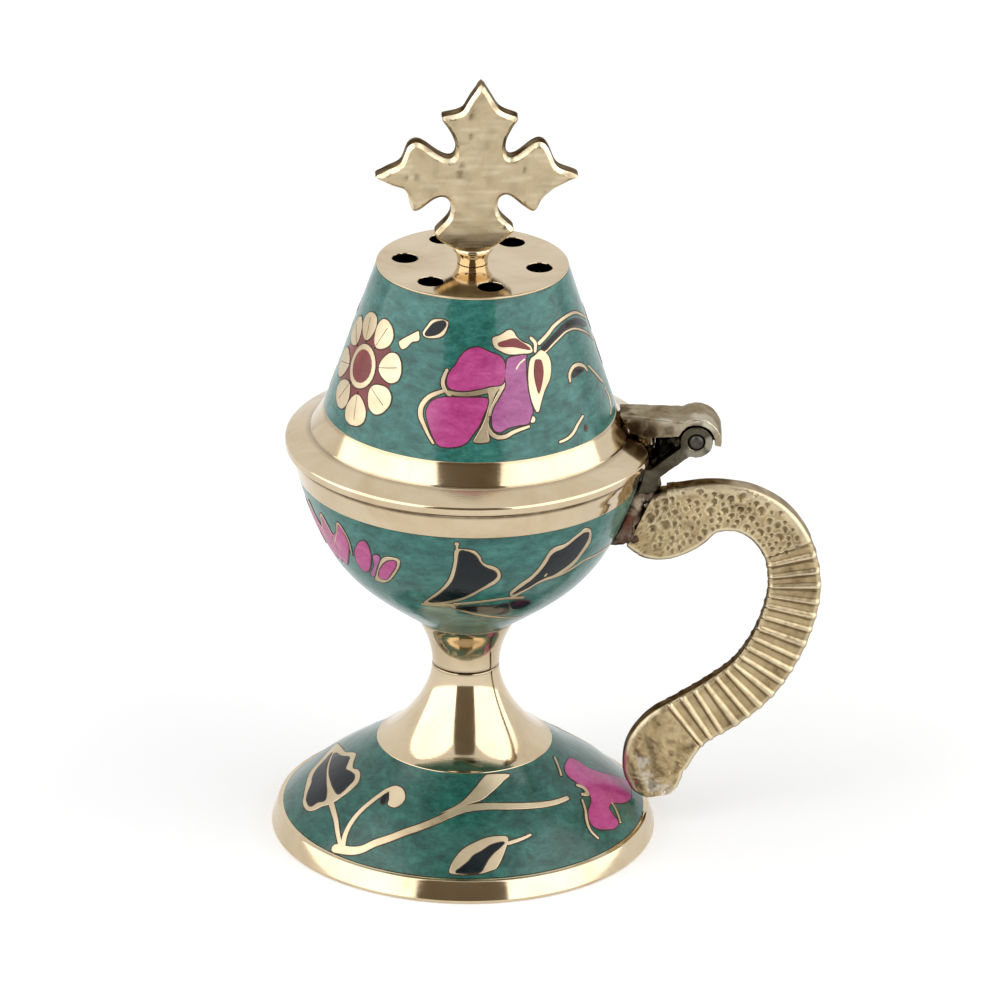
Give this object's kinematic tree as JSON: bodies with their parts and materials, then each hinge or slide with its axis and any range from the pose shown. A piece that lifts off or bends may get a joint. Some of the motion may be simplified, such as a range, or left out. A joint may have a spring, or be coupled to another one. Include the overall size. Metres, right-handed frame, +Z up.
{
  "type": "censer",
  "caption": "Footed brass hand censer with turquoise enamel bands, a hinged conical lid with smoke holes, a cross finial and a scroll handle.",
  "frame": {"origin": "on the surface that the foot stands on, under the middle of the whole censer's length and width, handle included; the turned axis of foot, bowl and lid is 12.24 mm towards -X from it", "axes": "+Z up along the turned axis, +X from the turned axis towards the hinge and handle, the cross faces -Y"},
  "size_m": [0.0834, 0.059, 0.1219],
  "materials": {
    "foot": "polished",
    "foot_enamel": "gloss",
    "bowl": "polished",
    "bowl_enamel": "gloss",
    "lid": "polished",
    "lid_enamel": "gloss",
    "cross_finial": "satin",
    "finial_nut": "satin",
    "lid_hinge_strap": "satin",
    "bowl_hinge_arm": "satin",
    "hinge_pin": "dark",
    "handle": "satin",
    "handle_boss": "satin",
    "stem_stud": "dark",
    "stem_washer": "satin",
    "stem_nut": "satin"
  },
  "bodies": {
    "base": {"foot": "foot", "foot_enamel": "foot_enamel", "bowl": "bowl", "bowl_enamel": "bowl_enamel", "bowl_hinge_arm": "bowl_hinge_arm", "hinge_pin": "hinge_pin", "handle": "handle", "handle_boss": "handle_boss", "stem_stud": "stem_stud", "stem_washer": "stem_washer", "stem_nut": "stem_nut"},
    "lid": {"lid": "lid", "lid_enamel": "lid_enamel", "cross_finial": "cross_finial", "finial_nut": "finial_nut", "lid_hinge_strap": "lid_hinge_strap"}
  },
  "joints": [
    {"name": "lid_hinge", "type": "hinge", "parent": "base", "child": "lid", "pos_m": [0.02201, 0, 0.06535], "axis": [0, 1, 0], "range_deg": [0, 90]}
  ]
}
